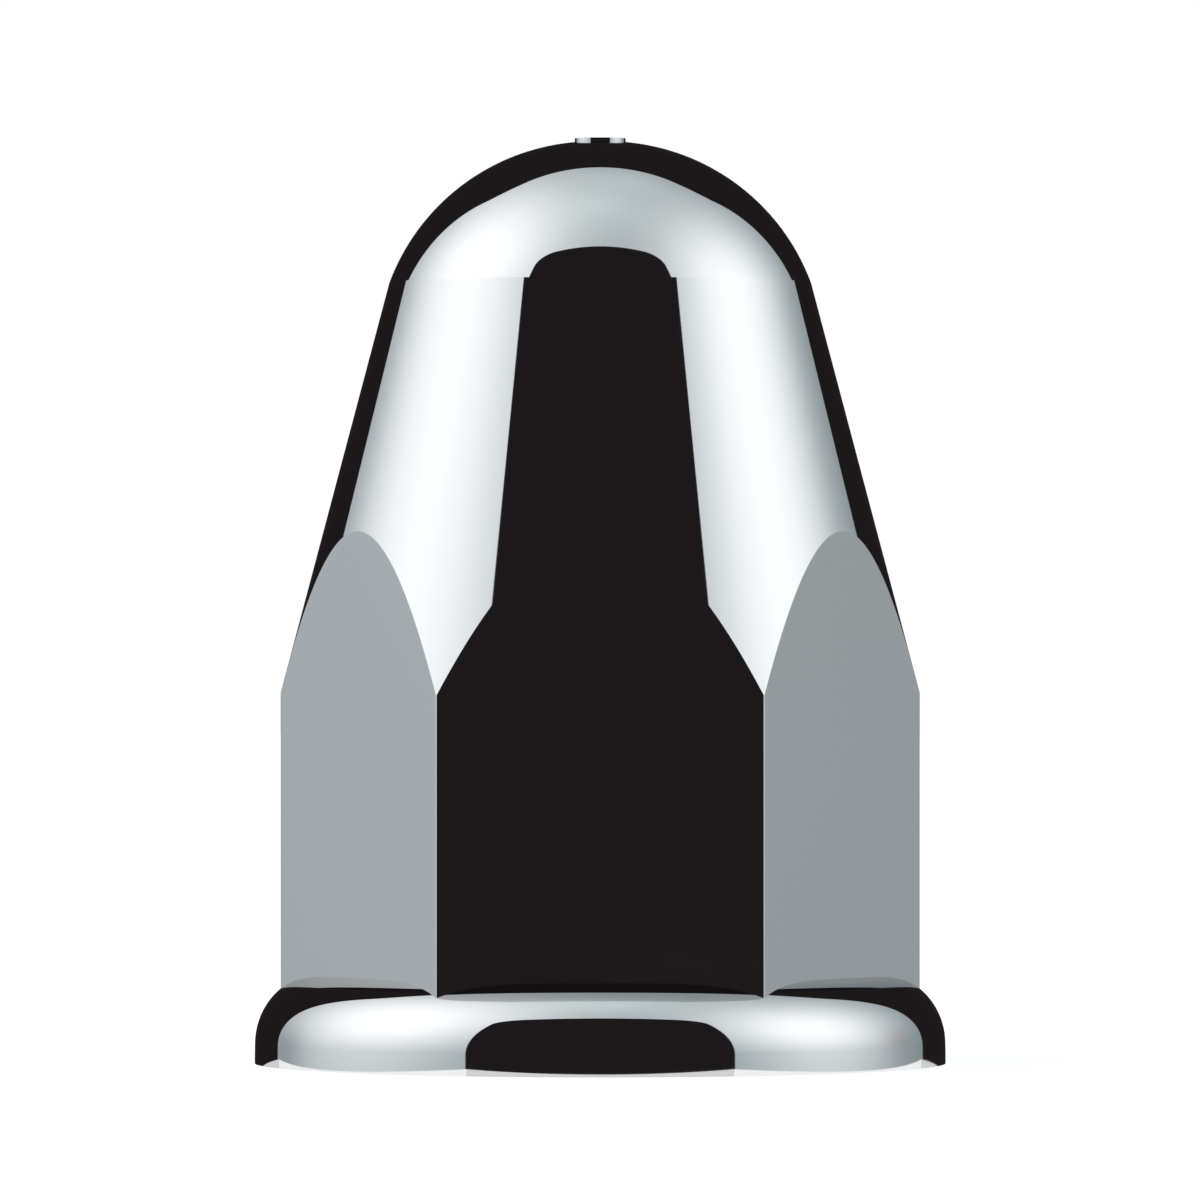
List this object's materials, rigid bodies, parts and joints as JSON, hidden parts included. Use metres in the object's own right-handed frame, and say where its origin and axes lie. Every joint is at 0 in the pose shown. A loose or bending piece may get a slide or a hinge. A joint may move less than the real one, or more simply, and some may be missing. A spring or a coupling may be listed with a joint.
{
  "type": "wheel nut cover cap",
  "caption": "Push-on chrome cover for one wheel nut: hexagonal skirt, tapered domed top and a round foot flange, open underneath.",
  "frame": {"origin": "middle of the ring that meets the wheel, on the nut's axis", "axes": "+Z along the nut's axis from the wheel to the dome; two of the six flats face along Y and two corners lie on X"},
  "size_m": [0.05, 0.05, 0.0669],
  "materials": {
    "chrome_plating": "polished"
  },
  "bodies": {
    "root": {"nut_cover": "chrome_plating"}
  },
  "joints": []
}
